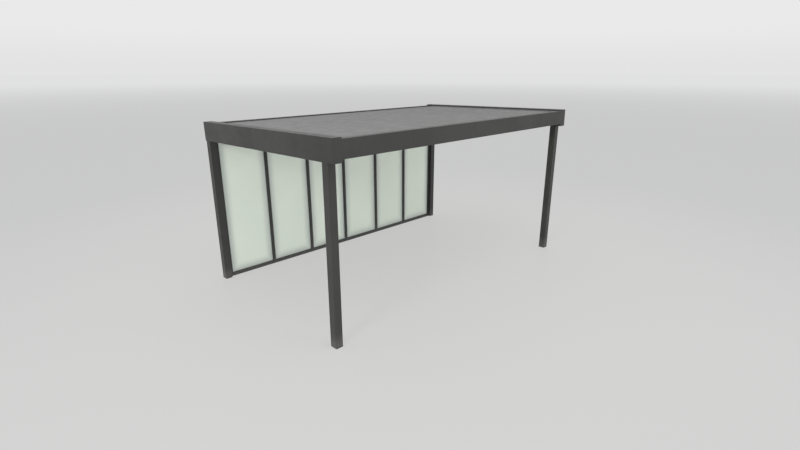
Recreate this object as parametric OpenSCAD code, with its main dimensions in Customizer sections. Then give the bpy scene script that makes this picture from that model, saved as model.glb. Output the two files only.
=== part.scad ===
// Single-bay aluminium carport with a flat roof that falls gently to the rear.
// Four square posts carry two deep end beams. Two shallower long beams, three
// purlins, five roof panels and a gutter fill the frame between the end beams.
// The rear long side is closed by a glazed wall; the other three sides are open.
//
// Millimetres. Z is up, X runs along the length, Y from the open front side to
// the glazed rear side. The origin is on the ground, under the middle of the
// outline. Roof pieces are drawn in the frame of the roof: its own origin is
// the top front edge of the end beams, its Y runs down the fall of the roof.

/* [Overall] */
// Length over the outer faces of the end beams
length = 5000; // [4000:50:6200]
// Depth of the roof frame, measured down the fall of the roof
depth = 3100; // [2500:50:3700]
// Height of the top front edge of the end beams
height = 2542; // [2250:1:3100]
// Fall of the roof towards the rear, in degrees
roof_fall = 1.27; // [0:0.01:3]

/* [Posts] */
// Outside width of the square post tube
post_w = 105; // [80:1:120]
// Wall thickness of the post tube
post_wall = 4; // [3:0.5:8]
// Distance from the front outline to the front posts
front_inset = 100; // [20:1:300]
// Distance from the rear outline to the rear posts
rear_inset = 30; // [10:1:100]
// Thickness of the foot plate welded into each post
foot_t = 12; // [8:1:20]

/* [End beams] */
// Width of the end beam tube
end_w = 128; // [124:1:160]
// Height of the end beam tube
end_h = 275; // [260:1:330]
// Wall thickness of the end beam tube
end_wall = 5; // [3:0.5:8]
// Thickness of the plates that close the end beams
cap_t = 4; // [2:0.5:8]

/* [Long beams] */
// Width of the long beam tubes
long_w = 100; // [80:1:110]
// Height of the long beam tubes
long_h = 220; // [200:1:230]
// Drop of the long beams' top below the end beams' top
long_drop = 20; // [0:1:25]
// Wall thickness of the long beam tubes
long_wall = 4; // [3:0.5:8]

/* [Roof] */
// Drop of the roof surface below the end beams' top
panel_drop = 33; // [28:1:45]
// Thickness of a roof panel
panel_t = 40; // [30:1:60]
// Width of a purlin tube
purlin_w = 60; // [50:1:80]
// Height of a purlin tube
purlin_h = 120; // [100:1:130]
// Wall thickness of the purlins
purlin_wall = 4; // [3:0.5:6]
// Width of the gutter behind the roof panels
gutter_w = 80; // [60:1:110]
// Depth of the gutter below the roof surface
gutter_h = 90; // [60:1:110]
// Sheet thickness of the gutter
gutter_wall = 2.5; // [2:0.5:4]

/* [Glazed wall] */
// Depth of the rails, jambs and mullions, front to rear
rail_w = 50; // [40:1:56]
// Height of the bottom rail
bottom_rail_h = 50; // [40:1:70]
// Height of the top rail at its lower, rear edge
top_rail_h = 55; // [45:1:80]
// Width of the jambs that stand against the rear posts
jamb_w = 38; // [34:1:60]
// Width of a mullion
mullion_w = 45; // [38:1:60]
// Distance from the middle of the rear posts to the middle of the wall
wall_shift = 15; // [-20:1:20]
// Thickness of the glass
glass_t = 8; // [6:1:12]
// Depth of the glazing groove
groove_d = 12; // [10:1:14]

/* [Fits] */
// Play between a pane and each side of its groove
glass_play = 0.3; // [0.2:0.1:1]
// Play between a pane's edge and the bottom of the groove beside or above it
edge_play = 2; // [1:0.5:4]
// Play around the roof panels and above the wall
frame_play = 0.5; // [0.3:0.1:2]
// Radius of the outside corners of the tubes
corner_r = 3; // [1:0.5:5]

/* [Hidden] */
$fn = 48;
PANELS = 5;
MULLIONS = 5;

cap_y = [0, depth - cap_t];
beam_len = length - 2 * end_w;
long_z = -long_drop - long_h;
panel_top_z = -panel_drop;
panel_bottom_z = -panel_drop - panel_t;
deck_front = long_w;
gutter_rear = depth - long_w;
gutter_front = gutter_rear - gutter_w;
panel_len = gutter_front - deck_front - 2 * frame_play;
panel_w = (beam_len - 2 * frame_play) / PANELS;
purlin_step = (gutter_front - deck_front - purlin_w) / 2;

// Outline on the ground: the tilted end beams reach a little past their top edge.
outline_y = depth * cos(roof_fall) + end_h * sin(roof_fall);
front_y = -outline_y / 2;
rear_y = outline_y / 2;
roof_y = front_y + end_h * sin(roof_fall);

front_post_y = front_y + front_inset;
rear_post_y = rear_y - rear_inset - post_w;
post_x = length / 2 - post_w;

wall_y = rear_post_y + post_w / 2 + wall_shift;
wall_len = 2 * post_x;
glazed_len = wall_len - 2 * jamb_w;
bay = (glazed_len - MULLIONS * mullion_w) / (MULLIONS + 1);
groove_w = glass_t + 2 * glass_play;

// Height above the ground of a plane of the roof frame, at one place along Y.
function roof_plane(local_z, y) =
    height - (y - roof_y) * tan(roof_fall) + local_z / cos(roof_fall);

glazing_top = roof_plane(long_z, wall_y + rail_w / 2) - frame_play - top_rail_h;
pane_w = bay + 2 * (groove_d - edge_play);
pane_h = glazing_top - bottom_rail_h + 2 * groove_d - edge_play;

// ---- Shared shapes ----

// Rectangle with rounded corners, from the origin into positive X and Y.
module rounded_rect(w, h, r) {
    translate([r, 0]) square([w - 2 * r, h]);
    translate([0, r]) square([w, h - 2 * r]);
    for (x = [r, w - r], y = [r, h - r]) translate([x, y]) circle(r = r);
}

// Section of a rectangular tube.
module tube_section(w, h, wall) {
    difference() {
        rounded_rect(w, h, corner_r);
        translate([wall, wall]) square([w - 2 * wall, h - 2 * wall]);
    }
}

// Stands its children in the frame of the roof.
module on_roof() {
    translate([0, roof_y, height]) rotate([-roof_fall, 0, 0]) children();
}

// Turns a section drawn in Y and Z into a bar along X, centred on X.
module bar_x(len) {
    translate([-len / 2, 0, 0]) rotate([90, 0, 90]) linear_extrude(len) children();
}

// Everything above one plane of the roof frame, used to cut uprights to the fall.
module above_roof_plane(local_z) {
    on_roof() translate([-length, -depth, local_z]) cube([2 * length, 3 * depth, 2 * height]);
}

// ---- Posts ----

module post(x, y) {
    color("dimgray") difference() {
        translate([x, y, 0]) linear_extrude(height) tube_section(post_w, post_w, post_wall);
        above_roof_plane(-end_h);
    }
}

module post_foot(x, y) {
    inside = post_w - 2 * post_wall;
    color("gray") translate([x + post_wall, y + post_wall, 0]) cube([inside, inside, foot_t]);
}

// ---- Roof frame ----

module end_beam(x) {
    color("dimgray") on_roof() translate([x, depth - cap_t, -end_h])
        rotate([90, 0, 0]) linear_extrude(depth - 2 * cap_t) tube_section(end_w, end_h, end_wall);
}

module end_cap(x, y) {
    color("dimgray") on_roof() translate([x, y + cap_t, -end_h])
        rotate([90, 0, 0]) linear_extrude(cap_t) rounded_rect(end_w, end_h, corner_r);
}

module long_beam(y) {
    color("dimgray") on_roof() translate([0, y, long_z])
        bar_x(beam_len) tube_section(long_w, long_h, long_wall);
}

module purlin(number) {
    y = deck_front + number * purlin_step;
    color("gray") on_roof() translate([0, y, panel_bottom_z - purlin_h])
        bar_x(beam_len) tube_section(purlin_w, purlin_h, purlin_wall);
}

module roof_panel(number) {
    x = -beam_len / 2 + frame_play + number * panel_w;
    color("silver") on_roof() translate([x, deck_front + frame_play, panel_bottom_z])
        cube([panel_w, panel_len, panel_t]);
}

module rear_gutter() {
    color("gray") on_roof() translate([0, gutter_front, panel_top_z - gutter_h])
        bar_x(beam_len) difference() {
            square([gutter_w, gutter_h]);
            translate([gutter_wall, gutter_wall])
                square([gutter_w - 2 * gutter_wall, gutter_h]);
        }
}

// ---- Glazed wall ----

module wall_bottom_rail() {
    color("dimgray") translate([0, wall_y - rail_w / 2, 0]) bar_x(wall_len) difference() {
        square([rail_w, bottom_rail_h]);
        translate([(rail_w - groove_w) / 2, bottom_rail_h - groove_d])
            square([groove_w, groove_d]);
    }
}

module wall_top_rail() {
    color("dimgray") difference() {
        translate([0, wall_y - rail_w / 2, glazing_top]) bar_x(glazed_len) difference() {
            square([rail_w, 2 * top_rail_h]);
            translate([(rail_w - groove_w) / 2, 0]) square([groove_w, groove_d]);
        }
        above_roof_plane(long_z - frame_play);
    }
}

// Section of an upright between x = 0 and x = w, with a groove at each named side.
module upright_section(w, groove_left, groove_right) {
    difference() {
        translate([0, -rail_w / 2]) square([w, rail_w]);
        if (groove_left) translate([0, -groove_w / 2]) square([groove_d, groove_w]);
        if (groove_right) translate([w - groove_d, -groove_w / 2]) square([groove_d, groove_w]);
    }
}

module wall_jamb(x, left) {
    color("dimgray") difference() {
        translate([x, wall_y, bottom_rail_h]) linear_extrude(height)
            upright_section(jamb_w, !left, left);
        above_roof_plane(-end_h - frame_play);
    }
}

module wall_mullion(number) {
    x = -glazed_len / 2 + number * bay + (number - 1) * mullion_w;
    color("dimgray") translate([x, wall_y, bottom_rail_h])
        linear_extrude(glazing_top - bottom_rail_h) upright_section(mullion_w, true, true);
}

module glass_pane(number) {
    x = -glazed_len / 2 + number * (bay + mullion_w) - (groove_d - edge_play);
    color("lightcyan") translate([x, wall_y - glass_t / 2, bottom_rail_h - groove_d])
        cube([pane_w, glass_t, pane_h]);
}

// ---- Nodes ----

post(-length / 2, front_post_y);  // post_front_left
post(post_x, front_post_y);  // post_front_right
post(-length / 2, rear_post_y);  // post_rear_left
post(post_x, rear_post_y);  // post_rear_right
post_foot(-length / 2, front_post_y);  // post_foot_front_left
post_foot(post_x, front_post_y);  // post_foot_front_right
post_foot(-length / 2, rear_post_y);  // post_foot_rear_left
post_foot(post_x, rear_post_y);  // post_foot_rear_right

end_beam(-length / 2);  // end_beam_left
end_beam(length / 2 - end_w);  // end_beam_right
end_cap(-length / 2, cap_y[0]);  // end_cap_front_left
end_cap(length / 2 - end_w, cap_y[0]);  // end_cap_front_right
end_cap(-length / 2, cap_y[1]);  // end_cap_rear_left
end_cap(length / 2 - end_w, cap_y[1]);  // end_cap_rear_right

long_beam(0);  // long_beam_front
long_beam(depth - long_w);  // long_beam_rear
purlin(0);  // purlin_front
purlin(1);  // purlin_middle
purlin(2);  // purlin_rear
roof_panel(0);  // roof_panel_1
roof_panel(1);  // roof_panel_2
roof_panel(2);  // roof_panel_3
roof_panel(3);  // roof_panel_4
roof_panel(4);  // roof_panel_5
rear_gutter();

wall_bottom_rail();
wall_top_rail();
wall_jamb(-post_x, true);  // wall_jamb_left
wall_jamb(post_x - jamb_w, false);  // wall_jamb_right
wall_mullion(1);  // wall_mullion_1
wall_mullion(2);  // wall_mullion_2
wall_mullion(3);  // wall_mullion_3
wall_mullion(4);  // wall_mullion_4
wall_mullion(5);  // wall_mullion_5
glass_pane(0);  // glass_pane_1
glass_pane(1);  // glass_pane_2
glass_pane(2);  // glass_pane_3
glass_pane(3);  // glass_pane_4
glass_pane(4);  // glass_pane_5
glass_pane(5);  // glass_pane_6
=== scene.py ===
"""Looks of a single-bay aluminium carport with a glazed rear wall.

Metres, Z up, X along the length, the open front at negative Y. The CAD nodes
keep their shapes and get their finishes here. Small parts that the CAD leaves
out are built below as meshes: screws, seals, cleats, seams and gutter parts.
"""

import math

import bmesh
import bpy
from mathutils import Matrix, Vector


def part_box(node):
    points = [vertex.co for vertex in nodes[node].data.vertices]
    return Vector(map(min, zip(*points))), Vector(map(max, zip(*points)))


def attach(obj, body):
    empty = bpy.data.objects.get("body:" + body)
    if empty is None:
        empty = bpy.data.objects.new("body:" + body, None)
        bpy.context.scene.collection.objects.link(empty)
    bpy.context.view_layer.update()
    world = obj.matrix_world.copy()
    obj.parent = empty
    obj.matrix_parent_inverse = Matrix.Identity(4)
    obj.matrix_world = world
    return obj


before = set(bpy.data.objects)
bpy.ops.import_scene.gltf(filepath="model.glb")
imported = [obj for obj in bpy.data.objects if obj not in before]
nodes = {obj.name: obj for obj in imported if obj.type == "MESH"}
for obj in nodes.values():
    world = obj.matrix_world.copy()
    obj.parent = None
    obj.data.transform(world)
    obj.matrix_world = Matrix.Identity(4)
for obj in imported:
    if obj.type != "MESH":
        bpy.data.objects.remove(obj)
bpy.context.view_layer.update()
scene = bpy.context.scene

# ---- The frame of the roof ----

CAP_T = 0.004           # plates that close the end beams
front_lo, front_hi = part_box("long_beam_front")
rear_lo, rear_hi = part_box("long_beam_rear")
FALL = math.atan2(front_hi.z - rear_hi.z, rear_lo.y - front_lo.y)
corner_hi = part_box("end_cap_front_left")[1]
ROOF = (Matrix.Translation((0, corner_hi.y - CAP_T * math.cos(FALL), corner_hi.z))
        @ Matrix.Rotation(-FALL, 4, "X"))


def roof_box(name):
    """Lowest and highest corners of a CAD node in the frame of the roof."""
    back = ROOF.inverted()
    points = [back @ v.co for v in nodes[name].data.vertices]
    return (Vector([min(p[i] for p in points) for i in range(3)]),
            Vector([max(p[i] for p in points) for i in range(3)]))


# ---- Materials ----

class Nodes:
    """A material's node tree with short calls for the nodes used here."""

    def __init__(self, name):
        self.material = bpy.data.materials.new(name)
        self.material.use_nodes = True
        self.tree = self.material.node_tree
        self.tree.nodes.clear()
        self.shader = self.tree.nodes.new("ShaderNodeBsdfPrincipled")
        out = self.tree.nodes.new("ShaderNodeOutputMaterial")
        self.tree.links.new(self.shader.outputs[0], out.inputs["Surface"])

    def link(self, source, target):
        self.tree.links.new(source, target)

    def node(self, kind, **values):
        made = self.tree.nodes.new("ShaderNode" + kind)
        for key, value in values.items():
            setattr(made, key, value)
        return made

    def coords(self, scale=(1, 1, 1), generated=False):
        source = self.node("TexCoord").outputs["Generated" if generated else "Object"]
        mapping = self.node("Mapping")
        mapping.inputs["Scale"].default_value = scale
        self.link(source, mapping.inputs["Vector"])
        return mapping.outputs["Vector"]

    def noise(self, scale, detail=3, roughness=0.5, stretch=(1, 1, 1)):
        made = self.node("TexNoise")
        made.inputs["Scale"].default_value = scale
        made.inputs["Detail"].default_value = detail
        made.inputs["Roughness"].default_value = roughness
        self.link(self.coords(stretch), made.inputs["Vector"])
        return made.outputs["Fac"]

    def span(self, value, low, high, to_low, to_high, smooth=False):
        made = self.node("MapRange")
        if smooth:
            made.interpolation_type = "SMOOTHSTEP"
        for key, number in (("From Min", low), ("From Max", high),
                            ("To Min", to_low), ("To Max", to_high)):
            made.inputs[key].default_value = number
        self.link(value, made.inputs["Value"])
        return made.outputs["Result"]

    def math(self, operation, a, b):
        made = self.node("Math", operation=operation)
        for socket, value in zip(made.inputs, (a, b)):
            if isinstance(value, (int, float)):
                socket.default_value = value
            else:
                self.link(value, socket)
        return made.outputs[0]

    def blend(self, factor, a, b):
        """Colour a where factor is 0, b where it is 1. Each is a colour or a socket."""
        made = self.node("Mix", data_type="RGBA")
        self.link(factor, made.inputs["Factor"])
        for socket, value in ((made.inputs[6], a), (made.inputs[7], b)):
            if isinstance(value, tuple):
                socket.default_value = (*value, 1)
            else:
                self.link(value, socket)
        return made.outputs[2]

    def bump(self, height, distance, strength=1.0, below=None):
        made = self.node("Bump")
        made.inputs["Strength"].default_value = strength
        made.inputs["Distance"].default_value = distance
        self.link(height, made.inputs["Height"])
        if below:
            self.link(below, made.inputs["Normal"])
        return made.outputs["Normal"]

    def set(self, **values):
        for key, value in values.items():
            socket = self.shader.inputs[key.replace("_", " ")]
            if isinstance(value, bpy.types.NodeSocket):
                self.link(value, socket)
            else:
                socket.default_value = (*value, 1) if isinstance(value, tuple) else value


def coated_metal(name, colour, rough, streaks=True, grain=0.00012, dust=0.0):
    """Fine-textured powder coat: a tight grain, soft cloudiness and faint run-off streaks."""
    m = Nodes(name)
    light = tuple(min(1, c * 1.16) for c in colour)
    dark = tuple(c * 0.88 for c in colour)
    shade = m.blend(m.span(m.noise(1.7, 4), 0.35, 0.65, 0, 1, True), dark, light)
    if streaks:
        run = m.span(m.noise(26, 3, 0.6, (1, 1, 0.05)), 0.52, 0.72, 0, 0.28, True)
        shade = m.blend(run, shade, tuple(c * 1.35 for c in colour))
    if dust:
        height = m.node("SeparateXYZ")
        m.link(m.coords(), height.inputs["Vector"])
        low = m.span(height.outputs["Z"], 0.0, 0.22, dust, 0, True)
        speckle = m.span(m.noise(90, 4, 0.7), 0.35, 0.7, 0.2, 1, True)
        shade = m.blend(m.math("MULTIPLY", low, speckle), shade, (0.30, 0.285, 0.26))
    grainy = m.noise(620, 2, 0.6)
    soft = m.noise(9, 3)
    m.set(Base_Color=shade, IOR=1.5,
          Roughness=m.span(soft, 0.3, 0.7, rough - 0.05, rough + 0.06),
          Normal=m.bump(grainy, grain, 0.55, m.bump(m.noise(3.2, 2), 0.0012, 0.25)))
    return m.material


def roof_coat(name, colour):
    """Coil-coated sheet: smooth, with a satin coat, dust settled between its ribs."""
    m = Nodes(name)
    dusty = tuple(min(1, c * 1.18) for c in colour)
    cloud = m.span(m.noise(3.1, 5, 0.6), 0.36, 0.68, 0, 0.45, True)
    spots = m.span(m.noise(55, 4, 0.7), 0.55, 0.8, 0, 0.45, True)
    along = m.span(m.noise(34, 3, 0.6, (1, 0.04, 1)), 0.5, 0.75, 0, 0.3, True)
    shade = m.blend(cloud, colour, dusty)
    shade = m.blend(m.math("MAXIMUM", spots, along), shade, tuple(c * 1.25 for c in colour))
    m.set(Base_Color=shade, IOR=1.5,
          Roughness=m.span(m.noise(7, 4), 0.3, 0.7, 0.40, 0.54),
          Normal=m.bump(m.noise(480, 2, 0.5), 0.00008, 0.5,
                        m.bump(m.noise(2.6, 2), 0.0006, 0.2)))
    return m.material


def frosted_glass(name, width, height):
    """Frosted green glass: an even milky field, greyer along the edges with painted shade next to
    the frames, and a trace of painted glow that stands in for the daylight scattered through it."""
    m = Nodes(name)
    split = m.node("SeparateXYZ")
    m.link(m.coords((width, 1, height), generated=True), split.inputs["Vector"])
    x, z = split.outputs["X"], split.outputs["Z"]
    across = m.math("MINIMUM", x, m.math("SUBTRACT", width, x))
    up = m.math("MINIMUM", z, m.math("SUBTRACT", height, z))
    # Painted shade next to the frames: the field turns greyer towards each edge of the pane.
    edge = m.span(m.math("MINIMUM", across, up), 0.0, GLASS_EDGE_PAINTED_SHADE, 1, 0, True)
    field = m.blend(m.span(m.noise(1.4, 3), 0.35, 0.65, 0, 1, True),
                    (0.860, 0.922, 0.832), (0.890, 0.948, 0.862))
    field = m.blend(m.math("MULTIPLY", edge, 0.8), field, (0.56, 0.605, 0.575))
    m.set(Base_Color=field, IOR=1.5, Coat_Weight=0.25, Coat_Roughness=0.12,
          Transmission_Weight=0.6,
          # Painted light: a faint glow in the pane's own colour stands in for daylight scattered through
          # it.
          Emission_Color=field, Emission_Strength=0.05,
          Roughness=m.span(m.noise(5, 3), 0.3, 0.7, 0.30, 0.42),
          Normal=m.bump(m.noise(900, 2), 0.00004, 0.5))
    return m.material


def galvanised(name):
    """Hot-dip zinc with its spangle."""
    m = Nodes(name)
    cells = m.node("TexVoronoi")
    cells.inputs["Scale"].default_value = 95
    m.link(m.coords(), cells.inputs["Vector"])
    spangle = m.span(cells.outputs["Distance"], 0, 0.9, 0, 1, True)
    shade = m.blend(spangle, (0.40, 0.41, 0.42), (0.55, 0.56, 0.57))
    shade = m.blend(m.span(m.noise(22, 4, 0.7), 0.5, 0.75, 0, 0.6), shade, (0.36, 0.36, 0.35))
    m.set(Base_Color=shade, Metallic=0.85, Roughness=m.span(spangle, 0, 1, 0.38, 0.55),
          Normal=m.bump(spangle, 0.00012, 0.5))
    return m.material


def rubber(name, colour):
    """Moulded EPDM and cured sealant: matt, with a slight bloom."""
    m = Nodes(name)
    bloom = m.span(m.noise(38, 4, 0.65), 0.45, 0.75, 0, 0.6, True)
    m.set(Base_Color=m.blend(bloom, colour, tuple(c * 1.8 + 0.004 for c in colour)),
          Roughness=m.span(m.noise(60, 3), 0.3, 0.7, 0.62, 0.8),
          Normal=m.bump(m.noise(750, 3), 0.00012, 0.7))
    return m.material


def stainless(name):
    """Turned stainless steel with fine tool marks and a few dull spots."""
    m = Nodes(name)
    marks = m.noise(1500, 2, 0.6, (1, 1, 0.2))
    dull = m.span(m.noise(120, 3), 0.45, 0.7, 0, 0.5, True)
    m.set(Base_Color=m.blend(dull, (0.56, 0.55, 0.53), (0.40, 0.39, 0.37)), Metallic=1.0,
          Roughness=m.span(marks, 0.3, 0.7, 0.26, 0.42), Normal=m.bump(marks, 0.00003, 0.6))
    return m.material


ANTHRACITE = (0.0290, 0.0290, 0.0268)
GLASS_EDGE_PAINTED_SHADE = 0.16      # breadth of the painted shade along the edges of each pane, next to the frames

coat_frame = coated_metal("frame_coat", ANTHRACITE, 0.46, dust=0.35)
coat_wall = coated_metal("wall_coat", ANTHRACITE, 0.44, dust=0.25)
coat_purlin = coated_metal("purlin_coat", (0.040, 0.040, 0.038), 0.50, streaks=False)
coat_gutter = coated_metal("gutter_coat", (0.038, 0.038, 0.036), 0.42, streaks=False)
coat_roof = roof_coat("sheet_coat", (0.136, 0.136, 0.133))
zinc = galvanised("zinc")
epdm = rubber("epdm", (0.016, 0.016, 0.016))
sealant = rubber("sealant", (0.030, 0.030, 0.029))
steel = stainless("stainless_steel")

pane_lo, pane_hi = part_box("glass_pane_1")
glass = frosted_glass("frosted_glass", pane_hi.x - pane_lo.x, pane_hi.z - pane_lo.z)

FINISHES = (("post_foot", zinc), ("post", coat_frame), ("end_", coat_frame),
            ("long_beam", coat_frame), ("purlin", coat_purlin), ("roof_panel", coat_roof),
            ("rear_gutter", coat_gutter), ("wall_", coat_wall), ("glass_pane", glass))
for name, node in nodes.items():
    finish = next(m for start, m in FINISHES if name.startswith(start))
    if not node.material_slots:
        node.data.materials.append(finish)
    for place in node.material_slots:
        place.material = finish


# ---- Mesh helpers ----

def piece(name, mesh, material, smooth=False):
    """Turns a finished bmesh into an object of the part, riding on its one body."""
    bmesh.ops.recalc_face_normals(mesh, faces=mesh.faces)
    data = bpy.data.meshes.new(name)
    mesh.to_mesh(data)
    mesh.free()
    data.materials.append(material)
    for face in data.polygons:
        face.use_smooth = smooth
    made = bpy.data.objects.new(name, data)
    scene.collection.objects.link(made)
    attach(made, "root")
    return made


def block(mesh, lo, hi, soft, place=Matrix.Identity(4)):
    """Box between two corners with rounded edges."""
    lo, hi = Vector(lo), Vector(hi)
    size = hi - lo
    made = bmesh.ops.create_cube(
        mesh, size=1, matrix=place @ Matrix.Translation((lo + hi) / 2)
        @ Matrix.Diagonal((size.x, size.y, size.z, 1)))
    edges = {e for v in made["verts"] for e in v.link_edges}
    bmesh.ops.bevel(mesh, geom=list(edges), offset=soft, segments=2, affect="EDGES", profile=0.6)


def prism(mesh, section, start, end, place=Matrix.Identity(4)):
    """Solid bar: a closed section of offsets, carried straight from start to end."""
    rings = [[mesh.verts.new(place @ (Vector(at) + Vector(p))) for p in section]
             for at in (start, end)]
    count = len(section)
    for i in range(count):
        j = (i + 1) % count
        mesh.faces.new((rings[0][i], rings[0][j], rings[1][j], rings[1][i]))
    mesh.faces.new(rings[0])
    mesh.faces.new(reversed(rings[1]))


def bead(mesh, start, end, side_a, side_b, size, place=Matrix.Identity(4)):
    """Hollow fillet of sealant in the corner between two faces."""
    a, b = Vector(side_a) * size, Vector(side_b) * size
    section = [Vector((0, 0, 0)), a, a * 0.62 + b * 0.16, (a + b) * 0.30, a * 0.16 + b * 0.62, b]
    prism(mesh, section, start, end, place)


def around(radius, step, sides, height=0.0):
    """One corner of a regular polygon about Z."""
    angle = 2 * math.pi * step / sides
    return Vector((radius * math.cos(angle), radius * math.sin(angle), height))


def lathe(mesh, profile, place, sides):
    """Solid turned about Z from (radius, height) points, closed at both ends."""
    rings = []
    for radius, height in profile:
        if radius == 0:
            rings.append([mesh.verts.new(place @ Vector((0, 0, height)))])
        else:
            rings.append([mesh.verts.new(place @ around(radius, i, sides, height))
                          for i in range(sides)])
    for low, high in zip(rings, rings[1:]):
        for i in range(sides):
            j = (i + 1) % sides
            if len(low) == 1:
                mesh.faces.new((low[0], high[j], high[i]))
            elif len(high) == 1:
                mesh.faces.new((low[i], low[j], high[0]))
            else:
                mesh.faces.new((low[i], low[j], high[j], high[i]))


def hex_screw(steel_mesh, seal_mesh, place, across=0.0080, washer=0.0066):
    """Sealing screw that stands on its EPDM washer; Z of place is the screw's axis."""
    lathe(seal_mesh, [(0, 0), (washer * 0.94, 0), (washer * 0.98, 0.0008),
                      (washer * 0.9, 0.0018), (0, 0.0018)], place, 20)
    lathe(steel_mesh, [(0, 0.0016), (washer * 0.86, 0.0016), (washer * 0.9, 0.0022),
                       (washer * 0.62, 0.0032), (0, 0.0032)], place, 20)
    r = across / 2 / math.cos(math.pi / 6)
    lathe(steel_mesh, [(0, 0.003), (r, 0.003), (r, 0.0068), (r * 0.84, 0.0078), (0, 0.0078)],
          place, 6)


def hex_bolt(mesh, place, across=0.016, height=0.0075, washer=0.012):
    """Bolt head on a plain washer."""
    lathe(mesh, [(0, 0), (washer, 0), (washer, 0.0012), (washer * 0.95, 0.0016), (0, 0.0016)],
          place, 24)
    r = across / 2 / math.cos(math.pi / 6)
    lathe(mesh, [(0, 0.0014), (r * 0.95, 0.0014), (r, 0.002), (r, height - 0.001),
                 (r * 0.86, height), (r * 0.3, height), (r * 0.26, height - 0.0006),
                 (0, height - 0.0006)], place, 6)


def tube(mesh, points, radius, sides=8):
    """Round wire through a row of points."""
    rings = []
    for i, point in enumerate(points):
        ahead = points[min(i + 1, len(points) - 1)] - points[max(i - 1, 0)]
        turn = ahead.to_track_quat("Z", "Y").to_matrix()
        rings.append([mesh.verts.new(point + turn @ around(radius, k, sides))
                      for k in range(sides)])
    for low, high in zip(rings, rings[1:]):
        for k in range(sides):
            j = (k + 1) % sides
            mesh.faces.new((low[k], low[j], high[j], high[k]))
    mesh.faces.new(rings[0])
    mesh.faces.new(reversed(rings[-1]))


def facing(at, out):
    """A place whose Z axis points out of the surface at a point."""
    return Matrix.Translation(at) @ Vector(out).to_track_quat("Z", "Y").to_matrix().to_4x4()


# ---- Roof panels: fine ribs, clipped joints and their flashings ----

panels = [roof_box(f"roof_panel_{i}") for i in range(1, 6)]
purlins = [roof_box(f"purlin_{place}") for place in ("front", "middle", "rear")]
RIB_STEP, RIB_W, RIB_H = 0.0316, 0.019, 0.0016
RIB_FLANK = 0.003       # breadth of a rib's sloping side
SKIN, SUNK = 0.0001, -0.0002    # the skin's flats just above the panels, its underside just in them
END_PLAY = 0.001        # pieces on the roof stop short of the panels' ends
JOINT_W, JOINT_H = 0.034, 0.0030
JOINT_SLOT_W, JOINT_SLOT_D = 0.006, 0.0018
deck = panels[0][1].z
roof_x = (panels[0][0].x, panels[-1][1].x)
roof_y = (panels[0][0].y, panels[0][1].y)

# The panels' outer skin: shallow ribs from front to rear, and a grooved strip over each joint.
ribs, clips = bmesh.new(), bmesh.new()
for lo, hi in panels:
    left, right = lo.x + JOINT_W / 2, hi.x - JOINT_W / 2
    count = round((right - left) / RIB_STEP)
    step = (right - left) / count
    line = [(left, SKIN)]
    for k in range(count):
        x = left + (k + 0.5) * step
        line += [(x - RIB_W / 2, SKIN), (x - RIB_W / 2 + RIB_FLANK, RIB_H),
                 (x + RIB_W / 2 - RIB_FLANK, RIB_H), (x + RIB_W / 2, SKIN)]
    line += [(right, SKIN), (right, SUNK), (left, SUNK)]
    prism(ribs, [Vector((x, 0, deck + z)) for x, z in line],
          (0, roof_y[0] + END_PLAY, 0), (0, roof_y[1] - END_PLAY, 0), ROOF)
half = [(JOINT_SLOT_W / 4, JOINT_H - JOINT_SLOT_D), (JOINT_SLOT_W / 2, JOINT_H),
        (JOINT_W / 2 - 0.004, JOINT_H), (JOINT_W / 2, 0)]
section = [(-a, b) for a, b in reversed(half)] + half
for lo, hi in panels[:-1]:
    prism(clips, [Vector((a, 0, b)) for a, b in section], (hi.x, roof_y[0] + END_PLAY, deck),
          (hi.x, roof_y[1] - END_PLAY, deck), ROOF)
piece("roof_skin_ribs", ribs, coat_roof)
piece("roof_panel_joints", clips, coat_roof)

# Sealing screws on each panel's outer ribs and its middle rib, over every purlin.
heads, washers = bmesh.new(), bmesh.new()
outer_rib = JOINT_W / 2 + step / 2
for lo, hi in purlins:
    middle = (lo.y + hi.y) / 2
    for panel_lo, panel_hi in panels:
        for x in (panel_lo.x + outer_rib, (panel_lo.x + panel_hi.x) / 2, panel_hi.x - outer_rib):
            hex_screw(heads, washers, ROOF @ Matrix.Translation((x, middle, deck + RIB_H)))
piece("roof_screw_heads", heads, steel)
piece("roof_screw_washers", washers, epdm)

# Folded edges: an angle down to the skin along both end beams and the front long beam,
# and a drip nose over the gutter.
FLASH_W, FLASH_T, FLASH_UP = 0.045, 0.0012, 0.010
rise = deck + RIB_H + 0.0002
angle = [(0, rise + FLASH_UP), (0, rise), (FLASH_W, rise), (FLASH_W, rise + FLASH_T),
         (FLASH_T, rise + FLASH_T), (FLASH_T, rise + FLASH_UP)]
NOSE_BACK, NOSE_OUT, NOSE_DROP = 0.040, 0.016, 0.018
nose = [(-NOSE_BACK, 0), (NOSE_OUT - 0.004, 0), (NOSE_OUT, -0.006), (NOSE_OUT, -NOSE_DROP),
        (NOSE_OUT - FLASH_T, -NOSE_DROP), (NOSE_OUT - FLASH_T, -0.0055),
        (NOSE_OUT - 0.0045, -FLASH_T), (-NOSE_BACK, -FLASH_T)]
flashings = bmesh.new()
for side, edge in ((-1, roof_x[0]), (1, roof_x[1])):
    edge += side * 0.0004
    prism(flashings, [Vector((-side * a, 0, b)) for a, b in angle],
          (edge, roof_y[0] + END_PLAY, 0), (edge, roof_y[1], 0), ROOF)
prism(flashings, [Vector((0, a, b)) for a, b in angle],
      (roof_x[0] + END_PLAY, roof_y[0] - 0.0003, 0), (roof_x[1] - END_PLAY, roof_y[0] - 0.0003, 0), ROOF)
prism(flashings, [Vector((0, a, b + rise + FLASH_T)) for a, b in nose],
      (roof_x[0] + 0.002, roof_y[1], 0), (roof_x[1] - 0.002, roof_y[1], 0), ROOF)
piece("roof_flashings", flashings, coat_roof)

# ---- Frame: seals, cap screws, cleats ----

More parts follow.
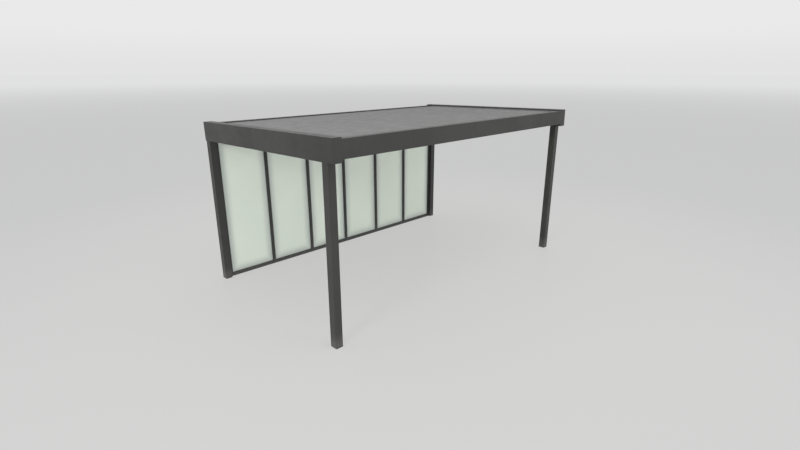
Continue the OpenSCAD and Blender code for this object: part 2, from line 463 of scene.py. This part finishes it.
end_l, end_r = roof_box("end_beam_left"), roof_box("end_beam_right")
long_f, long_r = roof_box("long_beam_front"), roof_box("long_beam_rear")
SEAL, FOOT_SEAL = 0.004, 0.005
UP, DOWN = (0, 0, 1), (0, 0, -1)
seals = bmesh.new()
for side, face in ((-1, end_l[1].x), (1, end_r[0].x)):
    inward = (-side, 0, 0)
    for lo, hi in (long_f, long_r):
        for z, way in ((hi.z, UP), (lo.z, DOWN)):
            bead(seals, (face, lo.y + 0.002, z), (face, hi.y - 0.002, z), inward, way, SEAL, ROOF)
    for y, way, top in ((long_f[1].y, (0, 1, 0), purlins[0][0].z), (long_r[0].y, (0, -1, 0), long_r[1].z)):
        bead(seals, (face, y, long_f[0].z), (face, y, top), inward, way, SEAL, ROOF)

beam_foot = ROOF @ Vector((0, 0, end_l[0].z))


def under_beam(y):
    """Height above the ground of the end beams' sloping underside."""
    return beam_foot.z - (y - beam_foot.y) * math.tan(FALL)


for name in ("post_front_left", "post_front_right", "post_rear_left", "post_rear_right"):
    lo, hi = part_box(name)
    inner, way = (hi.x, (1, 0, 0)) if lo.x < 0 else (lo.x, (-1, 0, 0))
    bead(seals, (inner, lo.y, under_beam(lo.y)), (inner, hi.y, under_beam(hi.y)), way, DOWN, SEAL)
    for y, out in ((lo.y, -1), (hi.y, 1)):
        for z, side, size in ((under_beam(y), DOWN, SEAL), (0, UP, FOOT_SEAL)):
            bead(seals, (lo.x + 0.004, y, z), (hi.x - 0.004, y, z), (0, out, 0), side, size)
    bead(seals, (inner, lo.y, 0), (inner, hi.y, 0), way, UP, FOOT_SEAL)
piece("frame_seals", seals, sealant, True)

# Low-dome screws near the corners of the end caps.
CAP_MARGIN = 0.026
cap_screws = bmesh.new()
for name in ("end_cap_front_left", "end_cap_front_right", "end_cap_rear_left", "end_cap_rear_right"):
    lo, hi = roof_box(name)
    y, out = (lo.y, -1) if "front" in name else (hi.y, 1)
    for x in (lo.x + CAP_MARGIN, hi.x - CAP_MARGIN):
        for z in (lo.z + CAP_MARGIN, hi.z - CAP_MARGIN):
            place = ROOF @ facing((x, y, z), (0, out, 0))
            lathe(cap_screws, [(0, -0.0005), (0.0052, -0.0005), (0.0050, 0.0001), (0.0040, 0.0004),
                               (0.0020, 0.0005), (0.0017, -0.0001), (0, -0.0001)], place, 24)
piece("end_cap_screws", cap_screws, coat_wall, True)

# Angle cleats that carry the purlins on the end beams, and their bolts.
cleats, cleat_bolts = bmesh.new(), bmesh.new()
CLEAT, CLEAT_T = 0.055, 0.004
for lo, hi in purlins:
    y0, y1, middle = lo.y + 0.006, hi.y - 0.006, (lo.y + hi.y) / 2
    for side, face in ((-1, end_l[1].x), (1, end_r[0].x)):
        inner = face - side * CLEAT_T
        reach, wall = sorted((face, face - side * CLEAT)), sorted((face, inner))
        block(cleats, (reach[0], y0, lo.z - CLEAT_T), (reach[1], y1, lo.z), 0.0012, ROOF)
        block(cleats, (wall[0], y0, lo.z - CLEAT), (wall[1], y1, lo.z - CLEAT_T * 0.9), 0.0012, ROOF)
        hex_bolt(cleat_bolts, ROOF @ facing((inner, middle, lo.z - 0.032), (-side, 0, 0)))
        hex_bolt(cleat_bolts, ROOF @ facing((face - side * 0.034, middle, lo.z - CLEAT_T), DOWN))
piece("purlin_cleats", cleats, zinc)
piece("purlin_cleat_bolts", cleat_bolts, steel)

# ---- Gutter: straps, outlet and strainer ----

gutter_lo, gutter_hi = roof_box("rear_gutter")
straps, strap_rivets = bmesh.new(), bmesh.new()
STRAPS, STRAP_W = 6, 0.022
strap_z = (gutter_hi.z - 0.006, gutter_hi.z - 0.0035)
y0, y1 = gutter_lo.y + 0.0015, gutter_hi.y - 0.0015
for i in range(STRAPS):
    x = gutter_lo.x + (i + 0.5) * (gutter_hi.x - gutter_lo.x) / STRAPS
    block(straps, (x - STRAP_W / 2, y0, strap_z[0]), (x + STRAP_W / 2, y1, strap_z[1]), 0.0007, ROOF)
    for y in (y0 + 0.009, y1 - 0.009):
        lathe(strap_rivets, [(0, -0.0006), (0.0034, -0.0006), (0.0031, 0.0006),
                             (0.0016, 0.0013), (0, 0.0015)],
              ROOF @ Matrix.Translation((x, y, strap_z[1])), 16)
piece("gutter_straps", straps, coat_gutter)
piece("gutter_rivets", strap_rivets, steel, True)

# A flanged outlet near each end of the gutter, under a domed wire strainer.
GUTTER_WALL, FROM_END = 0.0025, 0.14
WIRES, DOME_R, DOME_H = 10, 0.034, 0.036
outlet, strainer = bmesh.new(), bmesh.new()
for x in (gutter_lo.x + FROM_END, gutter_hi.x - FROM_END):
    middle = Vector((x, (gutter_lo.y + gutter_hi.y) / 2, gutter_lo.z + GUTTER_WALL))
    lathe(outlet, [(0, 0.0002), (0.030, 0.0002), (0.030, 0.0016), (0.041, 0.0018),
                   (0.043, 0.0006), (0.043, 0), (0, 0)], ROOF @ Matrix.Translation(middle), 40)
    for k in range(WIRES):
        arc = []
        for s in range(9):
            t = s / 8 * math.pi / 2
            arc.append(ROOF @ (middle + around(DOME_R * math.cos(t) + 0.003, k, WIRES,
                                               0.002 + DOME_H * math.sin(t))))
        tube(strainer, arc, 0.0014)
    for height, r in ((0.004, 0.037), (0.022, 0.031)):
        tube(strainer, [ROOF @ (middle + around(r, k, 32, height)) for k in range(33)], 0.0013)
piece("gutter_outlets", outlet, epdm, True)
piece("leaf_strainers", strainer, steel, True)

# ---- Glazed wall: gaskets, seals, weep covers ----

bottom_lo, bottom_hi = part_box("wall_bottom_rail")
top_lo, top_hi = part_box("wall_top_rail")
rear_post_lo, rear_post_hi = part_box("post_rear_left")
uprights = ([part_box("wall_jamb_left")] + [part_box(f"wall_mullion_{i}") for i in range(1, 6)]
            + [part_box("wall_jamb_right")])
sill, lintel = bottom_hi.z, top_lo.z
GASKET, WALL_SEAL, SEAM = 0.0038, 0.0035, 0.0005
LIP = ((0, 0), (GASKET, 0), (GASKET * 0.95, GASKET * 0.28), (GASKET * 0.72, GASKET * 0.8),
       (GASKET * 0.35, GASKET * 1.1), (0, GASKET * 1.15))
gaskets = bmesh.new()
for left, right in zip(uprights, uprights[1:]):
    x0, x1 = left[1].x, right[0].x
    for face, out in ((pane_lo.y, -1), (pane_hi.y, 1)):
        loop = []
        for cx, cz, sx, sz in ((x0, sill, 1, 1), (x1, sill, -1, 1),
                               (x1, lintel, -1, -1), (x0, lintel, 1, -1)):
            loop.append([gaskets.verts.new((cx + sx * a, face + out * b, cz + sz * a))
                         for a, b in LIP])
        for i in range(4):
            here, there = loop[i], loop[(i + 1) % 4]
            for k in range(len(LIP)):
                n = (k + 1) % len(LIP)
                gaskets.faces.new((here[k], here[n], there[n], there[k]))
piece("glazing_gaskets", gaskets, epdm, True)

joints = bmesh.new()
for (lo, hi), side in ((uprights[0], -1), (uprights[-1], 1)):
    x = lo.x if side < 0 else hi.x
    for y, out in ((lo.y, -1), (hi.y, 1)):
        if rear_post_lo.y < y < rear_post_hi.y:
            bead(joints, (x, y, sill), (x, y, top_hi.z - 0.01), (-side, 0, 0), (0, out, 0), WALL_SEAL)
for y, out in ((bottom_lo.y, -1), (bottom_hi.y, 1)):
    bead(joints, (bottom_lo.x, y, 0), (bottom_hi.x, y, 0), (0, out, 0), UP, FOOT_SEAL)
# Seam at the foot of each mullion and jamb, where it stands on the rail.
for lo, hi in uprights:
    for y, out in ((lo.y, -1), (hi.y, 1)):
        seam = [Vector((0, 0, -0.0008)), Vector((0, out * SEAM, -SEAM)),
                Vector((0, out * SEAM, SEAM)), Vector((0, 0, 0.0008))]
        prism(joints, seam, (lo.x + 0.001, y, sill), (hi.x - 0.001, y, sill))
piece("wall_seals", joints, sealant)

# Two weep covers on the outside of the bottom rail under each pane.
WEEP_AT = (0.22, 0.78)
weep_y, weep_z = bottom_hi.y, bottom_hi.z * 0.45
weeps = bmesh.new()
for left, right in zip(uprights, uprights[1:]):
    for share in WEEP_AT:
        x = left[1].x + (right[0].x - left[1].x) * share
        block(weeps, (x - 0.018, weep_y, weep_z - 0.005), (x + 0.018, weep_y + 0.004, weep_z + 0.005),
              0.0018)
        block(weeps, (x - 0.013, weep_y + 0.003, weep_z - 0.0062),
              (x + 0.013, weep_y + 0.0046, weep_z - 0.0048), 0.0003)
piece("weep_covers", weeps, epdm)

SCREW_FROM_END = 0.03
frame_screws = bmesh.new()
for lo, hi in uprights[1:-1]:
    for z in (sill + SCREW_FROM_END, lintel - SCREW_FROM_END):
        for y, out in ((lo.y, -1), (hi.y, 1)):
            place = facing(((lo.x + hi.x) / 2, y, z), (0, out, 0))
            lathe(frame_screws, [(0, -0.0004), (0.0046, -0.0004), (0.0044, 0.0003), (0.0032, 0.0010),
                                 (0.0016, 0.0012), (0.0014, 0.0004), (0, 0.0004)], place, 20)
piece("mullion_screws", frame_screws, coat_wall, True)

# ---- Floor, surroundings and light ----

FLOOR_EVEN = 0.78       # share of the floor that the camera sees without shading
FLOOR_R = 260
FLOOR_NEAR, FLOOR_MIDDLE = (0.625, 0.625, 0.618), (0.590, 0.590, 0.590)
HORIZON, SKY = (0.770, 0.770, 0.770), (0.820, 0.820, 0.820)
floor_mesh = bmesh.new()
bmesh.ops.create_circle(floor_mesh, cap_ends=True, segments=96, radius=FLOOR_R)
data = bpy.data.meshes.new("floor")
floor_mesh.to_mesh(data)
floor_mesh.free()
floor = bpy.data.objects.new("floor", data)
scene.collection.objects.link(floor)
floor.location.z = -0.0005
m = Nodes("floor_grey")
reach = m.node("VectorMath", operation="LENGTH")
m.link(m.coords(), reach.inputs[0])
tone = m.blend(m.span(reach.outputs["Value"], 3, 10, 0, 1, True), FLOOR_NEAR, FLOOR_MIDDLE)
tone = m.blend(m.span(reach.outputs["Value"], 20, 115, 0, 1, True), tone, HORIZON)
m.set(Base_Color=tone, Roughness=0.34, Specular_IOR_Level=0.12,
      Normal=m.bump(m.noise(7, 3), 0.0006, 0.15))
# To the camera the floor is mostly its own even grey, so the shadow stays but is faint.
even = m.node("Emission")
m.link(tone, even.inputs["Color"])
path = m.node("LightPath")
rays = m.math("MAXIMUM", path.outputs["Is Camera Ray"], path.outputs["Is Glossy Ray"])
rays = m.math("MAXIMUM", rays, path.outputs["Is Transmission Ray"])
mixed = m.node("MixShader")
m.link(m.math("MULTIPLY", rays, FLOOR_EVEN), mixed.inputs["Fac"])
m.link(m.shader.outputs[0], mixed.inputs[1])
m.link(even.outputs[0], mixed.inputs[2])
m.link(mixed.outputs[0], m.tree.nodes["Material Output"].inputs["Surface"])
data.materials.append(m.material)

world = bpy.data.worlds.new("studio")
scene.world = world
world.use_nodes = True
tree = world.node_tree
tree.nodes.clear()


def world_node(kind, **values):
    made = tree.nodes.new("ShaderNode" + kind)
    for key, value in values.items():
        setattr(made, key, value)
    return made


# What the camera sees above the floor: pale grey at the horizon, lighter higher up.
split = world_node("SeparateXYZ")
tree.links.new(world_node("TexCoord").outputs["Generated"], split.inputs["Vector"])
ramp = world_node("ValToRGB")
ramp.color_ramp.interpolation = "EASE"
ramp.color_ramp.elements[0].position = 0.0
ramp.color_ramp.elements[0].color = (*HORIZON, 1)
ramp.color_ramp.elements[1].position = 0.07
ramp.color_ramp.elements[1].color = (*SKY, 1)
tree.links.new(split.outputs["Z"], ramp.inputs["Fac"])
seen = world_node("Background")
tree.links.new(ramp.outputs["Color"], seen.inputs["Color"])
seen.inputs["Strength"].default_value = 1.0
lit = world_node("Background")
lit.inputs["Color"].default_value = (0.97, 0.985, 1.0, 1)
lit.inputs["Strength"].default_value = 0.86
path = world_node("LightPath")
camera_or_glossy = world_node("Math", operation="MAXIMUM")
seen_rays = world_node("Math", operation="MAXIMUM")
tree.links.new(path.outputs["Is Camera Ray"], camera_or_glossy.inputs[0])
tree.links.new(path.outputs["Is Glossy Ray"], camera_or_glossy.inputs[1])
tree.links.new(camera_or_glossy.outputs[0], seen_rays.inputs[0])
tree.links.new(path.outputs["Is Transmission Ray"], seen_rays.inputs[1])
pick = world_node("MixShader")
tree.links.new(seen_rays.outputs[0], pick.inputs["Fac"])
tree.links.new(lit.outputs[0], pick.inputs[1])
tree.links.new(seen.outputs[0], pick.inputs[2])
tree.links.new(pick.outputs[0], world_node("OutputWorld").inputs["Surface"])


def soft_lamp(name, at, towards, size, watts):
    """Round area lamp aimed at a point."""
    lamp = bpy.data.lights.new(name, "AREA")
    lamp.shape = "DISK"
    lamp.size = size
    lamp.energy = watts
    made = bpy.data.objects.new(name, lamp)
    made.location = at
    made.rotation_euler = (Vector(towards) - Vector(at)).to_track_quat("-Z", "Y").to_euler()
    scene.collection.objects.link(made)


soft_lamp("lamp_above", (-1.5, -5.0, 10.0), (0, 0, 1), 7.0, 200)
soft_lamp("lamp_front", (1.5, -10.0, 4.5), (0, 1.4, 1.2), 5.0, 130)
soft_lamp("lamp_left", (-11.0, -4.0, 6.5), (0, 0, 1), 2.6, 460)

# ---- Camera ----

CAMERA_AT = Vector((-5.5195, -5.588, 3.2384))
TURN, PITCH = 0.7895, 0.3168    # from +X towards +Y, and downwards, in radians
LENS, SENSOR = 21.7125, 36      # millimetres
aim = Vector((math.cos(PITCH) * math.cos(TURN), math.cos(PITCH) * math.sin(TURN),
              -math.sin(PITCH)))
eye = bpy.data.cameras.new("camera")
eye.sensor_fit = "HORIZONTAL"
eye.sensor_width = SENSOR
eye.lens = LENS
eye.clip_end = 1000
camera = bpy.data.objects.new("camera", eye)
camera.location = CAMERA_AT
camera.rotation_euler = aim.to_track_quat("-Z", "Y").to_euler()
scene.collection.objects.link(camera)
scene.camera = camera

scene.view_settings.view_transform = "Standard"
